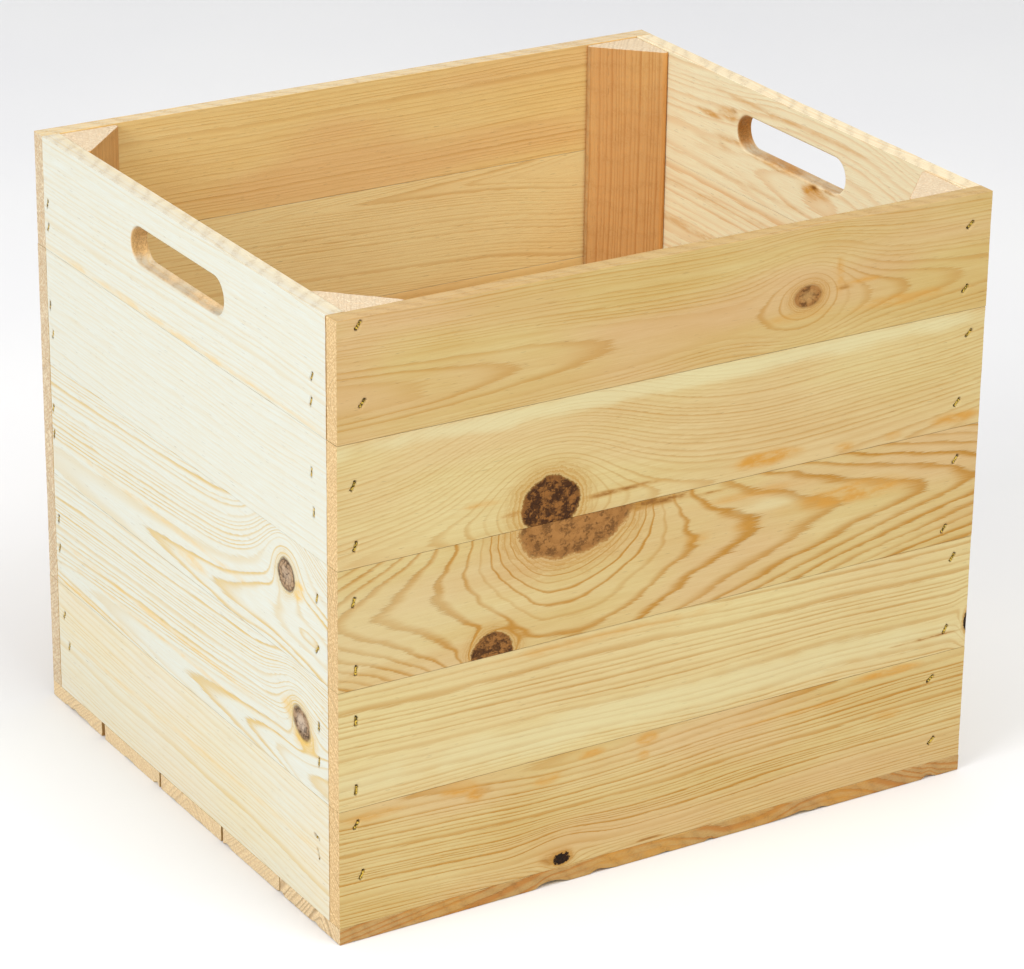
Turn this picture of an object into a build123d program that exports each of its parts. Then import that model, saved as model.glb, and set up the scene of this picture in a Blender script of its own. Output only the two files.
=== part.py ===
from build123d import *
import os

# A wooden apple crate: twenty wall boards stapled to four corner posts over a slatted base.
# Millimetres. The origin is the centre of the footprint on the floor, +X runs along the
# long front wall to the right, +Y from the front to the rear, and +Z up.

LENGTH = 378.0  # outside, along X
WIDTH = 324.0  # outside, along Y
HEIGHT = 326.0  # floor to rim

WALL = 10.0  # thickness of the wall boards
SLAT = 9.0  # thickness of the base slats
BOARDS = 5  # boards in each wall
TOP_BOARD = 62.0  # height of each wall's top board, planed narrower than the others
JOINT = 0.15  # gap between two boards of a wall
ARRIS = 0.5  # chamfer along the boards' long edges

SLAT_WIDTHS = (61.6, 60.8, 68.0, 65.0, 60.0)  # from front to rear, of random width
SLAT_GAPS = (0.6, 2.0, 2.0, 4.0)  # between them, from front to rear

POST_LEG = 33.0  # each leg of the triangular corner posts
POST_TIP = 2.5  # flat on the posts' two thin edges
POST_DROP = 0.5  # from the rim down to the posts' tops

SLOT_LENGTH = 100.0
SLOT_HEIGHT = 20.0
SLOT_DROP = 26.0  # from the rim down to the hand slots' centre line
SLOT_EASE = 1.2  # rounding round the hand slots' edges

CROWN = 4.2  # outside width of a staple
WIRE = 1.2  # width of the staple wire across the crown
WIRE_THICK = 1.0  # and its thickness along the crown and the legs
LEG = 18.0  # length of the legs, from the crown's outer face
LEG_POINT = 2.0  # length of the wedge at a leg's end
POINT_TAPER = 12.0  # degrees
SINK = 0.4  # depth of the crowns below the wood
MOUTH = 1.0  # how far the recesses for the crowns reach out past the face

LOWER_BOARD = (HEIGHT - SLAT - TOP_BOARD) / (BOARDS - 1)  # height of every other board

# Staples of a wall, board by board from the top: the upper one and the lower one, each as the
# distance in from the board's end, the height above its lower edge and its crown's lean off
# the vertical in degrees.
FRONT_LEFT = (
    ((12, 58, 35), (14, 19, 38)),
    ((9, 42, 28), (10, 11, 20)),
    ((9, 46, 15), (10, 10, 6)),
    ((10, 47, 2), (10, 10, 6)),
    ((10, 55, 32), (13, 27, 26)),
)
FRONT_RIGHT = (
    ((13, 46, 48), (14, 12, 45)),
    ((10, 51, 45), (15, 14, 42)),
    ((14, 46, 38), (19, 8, 36)),
    ((12, 54, 33), (14, 13, 30)),
    ((22, 50, 52), (19, 13, 46)),
)
LEFT_NEAR = (
    ((24, 27, 25), (25, 14, 20)),
    ((25, 42, 8), (23, 22, 5)),
    ((21, 42, 15), (21, 15, 35)),
    ((20, 38, 4), (20, 19, 8)),
    ((23, 39, 12), (20, 30, 36)),
)
LEFT_FAR = (
    ((14, 26, 18), (14, 13, 24)),
    ((13, 33, 10), (15, 17, 16)),
    ((12, 38, 22), (12, 23, 14)),
    ((14, 38, 12), (14, 21, 20)),
    ((17, 46, 26), (22, 29, 18)),
)
REAR_COLUMN = ((12, 52, 24), (11, 6, 36))  # the same on each board of the rear wall
RIGHT_COLUMN = ((20, 37, 30), (18, 23, 22))  # and of the right wall

LEAN_BASE = 8.0  # of the crowns in the base, off the slats' width, in degrees
LONG_EDGE_STAPLES = (-95.0, 95.0)  # along X, where the outer slats meet the long walls

# Each face looks outwards, with its own x to the right as seen from outside.
FRONT = Plane(origin=(0, -WIDTH / 2, 0), x_dir=(1, 0, 0), z_dir=(0, -1, 0))
REAR = Plane(origin=(0, WIDTH / 2, 0), x_dir=(-1, 0, 0), z_dir=(0, 1, 0))
LEFT = Plane(origin=(-LENGTH / 2, 0, 0), x_dir=(0, -1, 0), z_dir=(-1, 0, 0))
RIGHT = Plane(origin=(LENGTH / 2, 0, 0), x_dir=(0, 1, 0), z_dir=(1, 0, 0))
UNDERSIDE = Plane(origin=(0, 0, 0), x_dir=(1, 0, 0), z_dir=(0, 0, -1))


def board_span(number):
    """The bottom and top of a wall's board, numbered from 1 at the rim."""
    top = HEIGHT if number == 1 else HEIGHT - TOP_BOARD - (number - 2) * LOWER_BOARD
    height = TOP_BOARD if number == 1 else LOWER_BOARD
    joint_below = JOINT if number < BOARDS else 0
    return top - height + joint_below, top


def wall_seats(length, left_column, right_column):
    """Where a wall's staples sit on its face, with their turn from the face's x."""
    seats = []
    for number, (left_pair, right_pair) in enumerate(zip(left_column, right_column), 1):
        bottom = board_span(number)[0]
        for inset, height, lean in left_pair:
            seats.append(Location((inset - length / 2, bottom + height, 0), (0, 0, 90 - lean)))
        for inset, height, lean in right_pair:
            seats.append(Location((length / 2 - inset, bottom + height, 0), (0, 0, 90 - lean)))
    return seats


def slat_spans():
    """The front and rear edge of each base slat along Y."""
    spans = []
    front = -WIDTH / 2
    for width, gap in zip(SLAT_WIDTHS, SLAT_GAPS + (0,)):
        spans.append((front, front + width))
        front += width + gap
    return spans


def base_seats():
    """Two staples at each slat's end and two along each long wall, on the underside."""
    seats = []
    for front, rear in slat_spans():
        for along_y in (front + (rear - front) / 4, rear - (rear - front) / 4):
            for end in (-1, 1):
                at = (end * (LENGTH - WALL) / 2, -along_y, 0)
                seats.append(Location(at, (0, 0, 90 - end * LEAN_BASE)))
    for along_x in LONG_EDGE_STAPLES:
        for side in (-1, 1):
            seats.append(Location((along_x, side * (WIDTH - WALL) / 2, 0), (0, 0, LEAN_BASE)))
    return seats


def staples(face, seats, top):
    """One solid for each staple, its crown starting at top, counted outwards from the face."""
    with BuildPart() as group:
        with BuildSketch(face.offset(top)):
            with Locations(*seats):
                Rectangle(CROWN, WIRE)
        extrude(amount=-(top + SINK + WIRE_THICK))
        shank = LEG - LEG_POINT
        for start, length, taper in ((SINK, shank, 0), (SINK + shank, LEG_POINT, POINT_TAPER)):
            with BuildSketch(face.offset(-start)):
                with Locations(*seats):
                    with GridLocations(CROWN - WIRE_THICK, 0, 2, 1):
                        Rectangle(WIRE_THICK, WIRE)
            extrude(amount=-length, taper=taper)
    return group


def reaching(recesses, part):
    """The recesses whose boxes meet the part's box."""
    box = part.bounding_box()
    met = []
    for recess in recesses:
        other = recess.bounding_box()
        sides = zip(box.min, box.max, other.min, other.max)
        if all(low < other_high and other_low < high for low, high, other_low, other_high in sides):
            met.append(recess)
    return met


def wall_board(face, length, number, recesses, slotted):
    """A board lying on its wall's face, with its long edges eased and its staple seats cut."""
    bottom, top = board_span(number)
    with BuildPart() as board:
        with BuildSketch(face):
            with Locations((0, (bottom + top) / 2)):
                Rectangle(length, top - bottom)
        extrude(amount=-WALL)
        chamfer(board.edges().filter_by(Axis(face.origin, face.x_dir)), ARRIS)
        if slotted:
            with BuildSketch(face):
                with Locations((0, HEIGHT - SLOT_DROP)):
                    SlotOverall(SLOT_LENGTH, SLOT_HEIGHT)
            extrude(amount=-WALL, mode=Mode.SUBTRACT)
            through = Axis(face.origin, face.z_dir)
            fillet(board.edges(Select.LAST).filter_by(through, reverse=True), SLOT_EASE)
        add(reaching(recesses, board.part), mode=Mode.SUBTRACT)
    return board


def base_slat(front, rear, recesses):
    """A slat as long as the crate, under all four walls."""
    with BuildPart() as slat:
        with BuildSketch(Plane.XY):
            with Locations((0, (front + rear) / 2)):
                Rectangle(LENGTH, rear - front)
        extrude(amount=SLAT)
        chamfer(slat.edges().filter_by(Axis.X), ARRIS)
        add(reaching(recesses, slat.part), mode=Mode.SUBTRACT)
    return slat


def corner_post(end, side, recesses):
    """A three-cornered post, sawn from corner to corner out of a square one."""
    corner_x = end * (LENGTH / 2 - WALL)
    corner_y = side * (WIDTH / 2 - WALL)
    outline = ((0, 0), (POST_LEG, 0), (POST_LEG, POST_TIP), (POST_TIP, POST_LEG), (0, POST_LEG))
    with BuildPart() as post:
        with BuildSketch(Plane.XY.offset(SLAT)):
            with BuildLine():
                Polyline([(corner_x - end * x, corner_y - side * y) for x, y in outline], close=True)
            make_face()
        extrude(amount=HEIGHT - POST_DROP - SLAT)
        add(reaching(recesses, post.part), mode=Mode.SUBTRACT)
    return post


def save(builder, name):
    builder.part.label = name
    export_step(builder.part, f"parts/{name}.step")


os.makedirs("parts", exist_ok=True)

inner_width = WIDTH - 2 * WALL
rear_columns = (REAR_COLUMN,) * BOARDS
right_columns = (RIGHT_COLUMN,) * BOARDS
seats_on = {
    "front": (FRONT, wall_seats(LENGTH, FRONT_LEFT, FRONT_RIGHT)),
    "rear": (REAR, wall_seats(LENGTH, rear_columns, rear_columns)),
    "left": (LEFT, wall_seats(WIDTH, LEFT_FAR, LEFT_NEAR)),
    "right": (RIGHT, wall_seats(WIDTH, right_columns, right_columns)),
    "base": (UNDERSIDE, base_seats()),
}

all_recesses = []
for name, (plane, seats) in seats_on.items():
    save(staples(plane, seats, top=-SINK), f"{name}_staples")
    all_recesses += staples(plane, seats, top=MOUTH).part.solids()

for name, plane, run in (
    ("front", FRONT, LENGTH),
    ("rear", REAR, LENGTH),
    ("left", LEFT, inner_width),
    ("right", RIGHT, inner_width),
):
    for number in range(1, BOARDS + 1):
        slotted = number == 1 and name in ("left", "right")
        save(wall_board(plane, run, number, all_recesses, slotted), f"{name}_board_{number}")

for number, (front_edge, rear_edge) in enumerate(slat_spans(), 1):
    save(base_slat(front_edge, rear_edge, all_recesses), f"base_slat_{number}")

for name, end, side in (
    ("front_left", -1, -1),
    ("front_right", 1, -1),
    ("rear_left", -1, 1),
    ("rear_right", 1, 1),
):
    save(corner_post(end, side, all_recesses), f"corner_post_{name}")
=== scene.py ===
"""A wooden apple crate of bare pine boards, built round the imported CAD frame.

Every board, slat and post is a fine mesh of its own in place of its CAD solid, with worn
arrises, dents round the staples and sawn ends. The figure of the wood is worked out at each
vertex as a field of growth rings that flows round the knots, and one shader draws the rings,
knots, resin and fibres from it.
"""

import math

import bmesh
import bpy
import numpy as np
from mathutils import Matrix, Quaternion, Vector


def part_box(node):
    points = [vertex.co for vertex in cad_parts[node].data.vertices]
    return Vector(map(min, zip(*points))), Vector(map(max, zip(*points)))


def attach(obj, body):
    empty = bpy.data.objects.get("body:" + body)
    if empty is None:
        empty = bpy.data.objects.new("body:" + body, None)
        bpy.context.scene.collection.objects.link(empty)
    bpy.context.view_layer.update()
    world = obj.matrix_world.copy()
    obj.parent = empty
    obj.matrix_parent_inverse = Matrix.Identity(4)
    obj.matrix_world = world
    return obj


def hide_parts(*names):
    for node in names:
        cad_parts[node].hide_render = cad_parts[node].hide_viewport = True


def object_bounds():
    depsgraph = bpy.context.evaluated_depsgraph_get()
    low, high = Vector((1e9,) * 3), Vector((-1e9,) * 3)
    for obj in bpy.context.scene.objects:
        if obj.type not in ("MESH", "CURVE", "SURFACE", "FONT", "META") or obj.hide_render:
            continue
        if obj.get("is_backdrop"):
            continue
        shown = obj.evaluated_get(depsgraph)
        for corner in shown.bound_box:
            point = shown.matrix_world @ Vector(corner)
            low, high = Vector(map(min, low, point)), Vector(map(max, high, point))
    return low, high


MM = 0.001  # the CAD is in millimetres, this scene in metres; sizes here are mm unless they say m
PITCH = 2.0  # between the grid lines of a board's mesh
POST_PITCH = 0.9  # between the points round a post

ARRIS = 0.16  # usual rounding of the boards' edges
MISFIT = 0.2  # most that a board stands back from its neighbours
CUT_SHORT = 0.3  # most that a board's end is cut short by
BOARD_CHIPS = 0.3  # about how deep the splinters missing from the wall boards' edges go
SLAT_CHIPS = 4.5  # and those missing from the base slats' edges

SLOT_LENGTH = 100.0  # the hand slots, as in the CAD
SLOT_HEIGHT = 20.0
SLOT_DROP = 26.0  # from the rim to their centre line
SLOT_EASE = 1.2  # rounding of their edges
SLOT_MARGIN = 5.0  # of the mesh round them that follows their outline
POST_TIP = 2.5  # flat on the posts' two thin edges, as in the CAD
POST_ARRIS = 0.8

CROWN_HALF = 2.1  # half the outside width of a staple's crown
CROWN_DEPTH = 0.2  # points no deeper than this in a group of staples are its crowns'
CROWN_REACH = 7.0  # and those no farther than this from a crown's first point are that crown's
TROUGH = 0.75  # how deep the wood is pressed in along a crown
LEG_HOLE = 1.2  # and how much deeper at its legs
WIRE_BEVEL = 0.25

NO_KNOT = 9.0  # distance, in a knot's own sizes, from which on none is near

# which axis each group's crowns face along, and whether they lie at its low or high end
CROWN_FACES = {"left": (0, 0), "right": (0, 1), "front": (1, 0), "rear": (1, 1), "base": (2, 0)}

CAMERA_PLACE = (-1.0232, -1.6709, 0.9777)  # m
CAMERA_AIM = (0.48297, 0.78358, -0.39082)  # the direction that it looks in
CAMERA_ROLL = math.radians(0.72)
CAMERA_LENS = 141.4

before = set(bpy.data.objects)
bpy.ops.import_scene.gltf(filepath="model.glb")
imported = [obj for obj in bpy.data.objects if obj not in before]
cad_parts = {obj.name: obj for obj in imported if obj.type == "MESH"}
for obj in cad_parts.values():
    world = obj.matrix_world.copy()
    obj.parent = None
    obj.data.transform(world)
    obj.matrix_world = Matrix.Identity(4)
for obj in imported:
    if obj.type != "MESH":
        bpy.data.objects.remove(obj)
cad_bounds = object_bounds()


# ---------------------------------------------------------------- the figure of the wood

def wander(x, y, seed, size):
    """A smooth, seeded wander between about -1 and 1, with features of about that size.

    It adds up three waves in each of three octaves.
    """
    rng = np.random.default_rng(seed)
    total = 0 * x
    for octave in (1.0, 1.9, 3.1):
        for _ in range(3):
            angle, phase = rng.uniform(0, 2 * math.pi, 2)
            wave = (math.cos(angle) * x + math.sin(angle) * y) * octave / size
            total = total + np.sin(3.8 * wave + phase) / octave
    return total / 5


def smooth(low, high, x):
    """Eases from 0 to 1 as x goes from low to high."""
    t = np.clip((x - low) / (high - low), 0, 1)
    return t * t * (3 - 2 * t)


def knot(
    u, v, along, across, dark, turn=0.0, flow=0.75, spread=2.0, halo=0.6, rings=4.0, rim=0.2, pith=0.0,
):
    """A knot of half-size along by across. The lines flow round it out to spread times its size.

    It is live and light where dark is 0, dead where it is 1, and rotten past that. The rim is how
    open the crack round it is, and the pith how pale and soft-edged its middle is.
    """
    return dict(locals())


def eye(u, left, right, rings):
    """A place on the board's axis that rings close round, thinning out to both sides.

    Left and right are how far off, in mm, 0.7 times the number in rings have been crossed.
    """
    return dict(locals())


def figure(
    seed, pitch=2.2, axis=-80.0, bend=3.0, blunt=6.0, drift=0.0, wave=2.0, dip=0.25, eyes=(),
    crowd=(1e3, 0.0), uneven=1.0, ripple=0.12, humps=(), knots=(), orange=(), pale=(), dark=(),
    burn=(), tone=0.5, contrast=0.6, bulge=1.0,
):
    """One board's figure, in mm from its left end and top edge as seen from outside.

    The rings lie pitch apart to both sides of the axis, a line along the board that bends a
    little and rises over the humps, each (u, rise, width). Blunt is how broadly they turn at the
    axis, drift tilts them, wave and ripple make them waver slowly and quickly, and dip is how
    many of them are met per mm of depth. Past crowd[0] rings they crowd together by crowd[1],
    and uneven is how much their spacing varies. Where they close round an eye, a bulge of 1
    makes them pointed and 2 makes them round.

    The orange, pale and dark stains are (u, v, half length, half height, strength), and the
    glows, of the same form, are painted warm light that shows only on the edges and in the
    hand slot. Tone runs from 0 for the look's pale wood to 1 for its deep wood, and contrast is how
    dark the late wood is.
    """
    return dict(locals())


def knot_reach(u, v, k):
    """Distance from a knot's centre, 1 at its edge."""
    turn = math.radians(k["turn"])
    du, dv = u - k["u"], v - k["v"]
    along = (du * math.cos(turn) + dv * math.sin(turn)) / k["along"]
    across = (dv * math.cos(turn) - du * math.sin(turn)) / k["across"]
    return np.sqrt(along**2 + across**2 + 1e-6)


def run_out(u, eyes):
    """Rings crossed along the axis, counted outwards from each eye.

    The fewest count, with a soft change from one eye to the next.
    """
    if not eyes:
        return 0 * u
    total = 0 * u
    for e in eyes:
        far = np.where(u < e["u"], e["left"], e["right"])
        away = np.sqrt((u - e["u"]) ** 2 + 64.0) - 8.0
        total = total + np.exp(-3.0 * e["rings"] * np.log1p(away / far))
    return -np.log(total) / 3.0


def near_eye(u, eyes):
    """1 beside an eye, where rings close in a round curve, and 0 far from it."""
    total = 0 * u
    for e in eyes:
        total = np.maximum(total, np.exp(-(((u - e["u"]) / 45.0) ** 2)))
    return total


def ring_field(u, v, w, fig):
    """The number of the growth ring at each point, as a smooth field."""
    seed = fig["seed"]
    flow = v + fig["drift"] * u + fig["wave"] * wander(u / 3.2, v, seed, 60.0)
    for k in fig["knots"]:
        pull = np.exp(-((knot_reach(u, v, k) / k["spread"]) ** 2))
        flow = flow - pull * (v - k["v"]) * k["flow"]
    axis = fig["axis"] + fig["bend"] * wander(u / 2.5, 0 * v, seed + 1, 90.0)
    for hump_u, rise, width in fig["humps"]:
        axis = axis + rise * np.exp(-(((u - hump_u) / width) ** 2))
    across = np.sqrt((flow - axis) ** 2 + fig["blunt"] ** 2) - fig["blunt"]
    along = np.maximum(run_out(u, fig["eyes"]), 0)
    bulge = fig["bulge"] + (2 - fig["bulge"]) * near_eye(u, fig["eyes"])
    field = ((across / fig["pitch"]) ** bulge + along**bulge) ** (1 / bulge) + fig["dip"] * w
    start, gain = fig["crowd"]
    field = field + gain * 0.4 * np.logaddexp(0, (field - start) / 0.4)
    swing = 0.30 * np.sin(1.7 * field + seed) + 0.5 * np.sin(0.61 * field + 2 * seed)
    field = field + fig["uneven"] * swing
    field = field + fig["ripple"] * wander(u / 7.0, v + 0.6 * w, seed + 3, 9.0)
    for k in fig["knots"]:
        field = field - k["rings"] * np.exp(-np.maximum(knot_reach(u, v, k) - 0.8, 0) / k["halo"])
    return field


def marks(u, v, w, fig):
    """How far the nearest knot is and what it is like, the stains of each kind, and the painted glow."""
    seed = fig["seed"]
    out = {"knot": np.full_like(u, NO_KNOT)}
    traits = ("dark", "rim", "pith")
    for trait in traits:
        out["knot_" + trait] = np.zeros_like(u)
    for k in fig["knots"]:
        reach = knot_reach(u, v, k) * (1 + 0.09 * wander(u, v, seed + 7, 9.0))
        nearer = reach < out["knot"]
        out["knot"] = np.where(nearer, reach, out["knot"])
        for trait in traits:
            out["knot_" + trait] = np.where(nearer, k[trait], out["knot_" + trait])
    wobble = 0.35 * wander(u / 2, v, seed + 11, 14.0)
    for kind in ("orange", "pale", "dark", "burn"):
        total = np.zeros_like(u)
        for at_u, at_v, size_u, size_v, strength in fig[kind]:
            reach = np.sqrt(((u - at_u) / size_u) ** 2 + ((v - at_v) / size_v) ** 2)
            total = np.maximum(total, strength * (1 - smooth(0.35, 1.15, reach + wobble)))
        out[kind + "_stain"] = total
    # the painted glow shows only away from the two large faces, on the edges and in the hand slot
    out["burn_stain"] = out["burn_stain"] * smooth(0.2, 1.0, np.minimum(w, w.max() - w))
    return out


FRONT_FIGURES = [
    figure(
        1, pitch=3.0, axis=40, bend=1.5, blunt=4.0, wave=2.2, dip=0.3, crowd=(6.0, 0.6), bulge=1.6,
        ripple=0.16, eyes=[eye(-60, 300, 300, 8.0)],
        knots=[
            knot(
                266, 36, 9.5, 6.6, 0.6, turn=-8, flow=0.9, spread=3.4, halo=1.4, rings=4.5, rim=0.1,
                pith=0.75,
            ),
        ],
        orange=[
            (322, 48, 34, 3.5, 0.6), (262, 46, 24, 3, 0.4), (300, 33, 16, 1.6, 0.8),
            (285, 28, 3, 14, 0.5),
        ],
        dark=[(288, 35, 5, 2.0, 0.7), (285, 22, 1.0, 9, 0.5), (270, 37, 7, 5.5, 0.5)], tone=0.64,
        contrast=0.5,
    ),
    figure(
        2, pitch=3.4, axis=62, bend=0.5, blunt=3.0, wave=2.6, crowd=(6.5, 0.7), ripple=0.16, uneven=0.6,
        eyes=[eye(118, 25, 34, 3.0), eye(430, 60, 60, 3.2)], humps=[(118, -8, 60)], bulge=1.2,
        knots=[knot(118, 54, 17, 15, 1.0, flow=0.6, halo=0.5, rings=5)],
        orange=[
            (243, 56, 26, 5, 1.0), (366, 58, 20, 4, 0.9), (78, 46, 12, 2, 0.7), (292, 60, 8, 3, 0.8),
            (322, 60, 7, 3, 0.5),
        ],
        pale=[(190, 4, 260, 6, 0.7)], dark=[(158, 55, 24, 2.2, 1.0), (98, 55, 10, 1.5, 0.7)], tone=0.35,
        contrast=0.45,
    ),
    figure(
        3, pitch=10.0, axis=28, bend=0.3, blunt=1.5, wave=1.0, humps=[(122, -27, 42)], bulge=1.25,
        crowd=(9.0, 1.8), ripple=0.26, eyes=[eye(122, 6, 11, 2.9)], uneven=0.25,
        knots=[
            knot(133, 0, 33, 20, 0.55, turn=-6, flow=0.0, halo=0.45, rings=7.5, rim=0.0),
            knot(86, 62, 12, 11, 0.8, flow=0.9, spread=1.7, halo=0.3, rings=2.5),
        ],
        orange=[
            (204, 27, 9, 3, 0.6), (236, 27, 12, 3, 0.6), (296, 22, 46, 7, 0.9), (230, 10, 40, 2.5, 0.5),
        ],
        pale=[(14, 30, 80, 34, 0.35), (250, 18, 24, 4, 0.5)],
        dark=[(178, 1.5, 26, 3.0, 1.0), (215, 4, 24, 1.2, 0.9)], tone=0.5, contrast=1.05,
    ),
    figure(
        4, pitch=3.6, axis=-46, blunt=8, wave=4.5, drift=-0.012, ripple=0.16,
        knots=[knot(379, 49, 3, 6, 1.8, spread=2.5)], orange=[(150, 4, 90, 3, 0.4)],
        pale=[(190, 50, 260, 11, 0.5)], dark=[(350, 53, 26, 1.0, 0.9)], tone=0.18, contrast=0.6,
    ),
    figure(
        5, pitch=3.2, axis=1, bend=0.6, blunt=5, wave=1.5, crowd=(3.4, 0.5),
        eyes=[eye(150, 200, 260, 3.0)], ripple=0.18,
        knots=[knot(128, 59, 5, 3.2, 1.8, spread=4.5, flow=0.9, halo=0.8, rings=2)],
        orange=[
            (66, 4, 12, 4, 1.0), (78, 10, 6, 4, 1.0), (146, 4, 10, 3, 0.8), (118, 12, 9, 3, 0.6),
            (178, 4, 7, 4, 0.9), (176, 13, 4, 3, 0.7), (325, 3, 24, 3, 1.0), (330, 28, 12, 3, 0.5),
            (20, 6, 22, 3, 0.6), (270, 12, 50, 1.5, 0.6),
        ],
        dark=[(126, 58, 13, 6, 0.75), (178, 61.5, 16, 0.8, 0.9), (82, 9, 6, 3, 0.5)], tone=0.48,
        contrast=0.88,
    ),
]

LEFT_FIGURES = [
    figure(
        11, pitch=3.4, axis=-70, wave=1.5, orange=[(150, 60, 220, 2.0, 0.5)],
        burn=[(101, 26, 11, 14, 1.0), (152, 26, 66, 16, 0.7)], tone=0.0, contrast=0.3,
    ),
    figure(12, pitch=3.0, axis=120, wave=2.0, tone=0.0, contrast=0.22),
    figure(
        13, pitch=5.0, axis=54, bend=1.0, blunt=2.0, wave=1.6, crowd=(5.5, 0.8),
        eyes=[eye(285, 26, 30, 1.9)], humps=[(262, -14, 40)], bulge=1.2, ripple=0.16,
        knots=[knot(263, 21, 9, 9, 0.45, flow=0.8, spread=2.6, halo=0.6, rings=3, rim=1.0, pith=0.35)],
        orange=[(276, 25, 6, 6, 1.0), (130, 42, 120, 2.0, 0.5), (165, 53, 18, 4, 0.6)], tone=0.0,
        contrast=0.72,
    ),
    figure(
        14, pitch=4.4, axis=54, bend=1.0, blunt=2.0, wave=1.6, crowd=(5.0, 1.0),
        eyes=[eye(320, 24, 30, 2.0)], bulge=1.3, ripple=0.16,
        knots=[knot(277, 31, 11, 8, 0.8, turn=35, flow=0.8, spread=2.4, halo=0.6, rings=3, pith=0.7)],
        orange=[
            (280, 38, 14, 8, 1.0), (264, 27, 8, 6, 0.6), (120, 38, 140, 1.6, 0.6),
            (140, 47, 130, 1.4, 0.5), (30, 61, 40, 2.0, 0.8), (85, 60, 18, 2.0, 0.7),
        ],
        tone=0.0, contrast=0.72,
    ),
    figure(
        15, pitch=3.2, axis=-90, wave=2.0, drift=-0.04, orange=[(150, 30, 170, 2.5, 0.35)], tone=0.45,
        contrast=0.45,
    ),
]

REAR_FIGURES = [
    figure(21, pitch=2.6, axis=90, wave=1.6, tone=0.75, contrast=0.5),
    figure(
        22, pitch=4.2, axis=8, bend=0.8, blunt=1.5, wave=1.4, crowd=(4.0, 1.0),
        eyes=[eye(10, 40, 60, 2.4)], tone=0.2, contrast=0.42,
    ),
    figure(23, pitch=3.0, axis=-60, wave=2.4, tone=0.6, contrast=0.55, knots=[knot(96, 20, 8, 7, 0.7)]),
    figure(
        24, pitch=4.6, axis=34, bend=1.0, blunt=1.5, wave=1.4, crowd=(5.0, 1.0),
        eyes=[eye(240, 30, 30, 3.0)], knots=[knot(238, 36, 12, 9, 0.8, spread=2.2)], tone=0.5,
        contrast=0.8,
    ),
    figure(25, pitch=2.8, axis=-50, wave=2.6, tone=0.55, contrast=0.55),
]

RIGHT_FIGURES = [
    figure(
        31, pitch=6.5, axis=46, bend=1.0, blunt=5.0, wave=1.6, crowd=(4.5, 0.5),
        eyes=[eye(120, 40, 60, 1.6)],
        orange=[
            (150, 9, 90, 2.0, 0.6), (212, 20, 14, 4.5, 1.0), (228, 24, 16, 2.6, 0.9),
            (222, 40, 24, 3.0, 0.4), (130, 40, 17, 6.0, 1.0), (204, 34, 18, 3.0, 0.5),
            (152, 37, 56, 2.0, 0.8), (180, 55, 60, 2.0, 0.4), (296, 18, 3.0, 9.0, 0.9),
        ],
        dark=[(129, 38, 6, 2.6, 1.0), (206, 17, 5, 2.0, 0.6), (116, 37, 9, 1.2, 0.8)],
        burn=[(202, 26, 12, 14, 1.0), (150, 38, 60, 4, 0.5)], tone=0.04, contrast=0.38,
    ),
    figure(
        32, pitch=5.0, axis=-70, wave=2.2, orange=[(240, 12, 90, 2.0, 0.5), (250, 35, 70, 3.0, 0.6)],
        tone=0.2, contrast=0.5,
    ),
    figure(
        33, pitch=4.4, axis=30, bend=1.0, blunt=1.5, wave=1.2, crowd=(5.0, 1.0),
        eyes=[eye(60, 22, 26, 3.0)], knots=[knot(64, 26, 10, 8, 0.7, spread=2.2)], tone=0.35,
        contrast=0.8,
    ),
    figure(34, pitch=2.8, axis=130, wave=2.4, tone=0.3, contrast=0.5),
    figure(
        35, pitch=3.6, axis=50, bend=1.5, blunt=2.0, wave=1.6, crowd=(4.0, 0.8),
        eyes=[eye(-30, 50, 60, 2.6)], knots=[knot(206, 18, 5, 4, 1.0, spread=3.5)], tone=0.45,
        contrast=0.6,
    ),
]

SLAT_FIGURES = [
    figure(
        41, pitch=4.4, axis=20, blunt=1.5, eyes=[eye(165, 70, 60, 4.0), eye(290, 14, 14, 3.0)], dip=0.2,
        orange=[
            (172, 0, 46, 30, 0.6), (252, 0, 26, 30, 0.5), (306, 0, 24, 30, 0.6), (60, 0, 30, 20, 0.4),
        ],
        tone=0.6, contrast=1.4,
    ),
    figure(42, pitch=3.0, axis=-60, tone=0.5, contrast=0.6, dip=0.4),
    figure(
        43, pitch=4.0, axis=36, blunt=1.5, eyes=[eye(80, 30, 40, 2.6)], knots=[knot(84, 34, 11, 9, 0.8)],
        tone=0.5,
    ),
    figure(44, pitch=2.8, axis=110, tone=0.4, contrast=0.6, dip=0.4),
    figure(45, pitch=3.4, axis=-70, tone=0.55, contrast=0.7, dip=0.4, knots=[knot(300, 30, 7, 6, 0.9)]),
]

POST_FIGURES = [
    figure(
        51 + number, pitch=2.2 + 0.3 * number, axis=axis, bend=1.5, blunt=2, wave=0.8, tone=0.6,
        contrast=0.45,
    )
    for number, axis in enumerate((42.0, 37.0, 45.0, 38.0))
]


# ---------------------------------------------------------------- meshes

def grid_lines(length, busy=()):
    """Places along a side, PITCH apart but closer round the ends and the busy places.

    Each busy place is its middle, its reach to both sides and the spacing there, in mm.
    """
    x = np.linspace(0, length, 4001)
    gap = np.full_like(x, PITCH)
    for place, reach, fine in [(0, 0.8, 0.2), (length, 0.8, 0.2), *busy]:
        gap = np.minimum(gap, fine + 0.35 * np.maximum(np.abs(x - place) - reach, 0))
    count = np.concatenate([[0], np.cumsum(2 * x[1] / (gap[1:] + gap[:-1]))])
    return np.interp(np.linspace(0, count[-1], round(count[-1]) + 1), count, x)


def quads(ids):
    """Quads over a two-dimensional array of vertex numbers."""
    corners = (ids[:-1, :-1], ids[1:, :-1], ids[1:, 1:], ids[:-1, 1:])
    return np.stack([corner.ravel() for corner in corners], axis=1)


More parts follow.
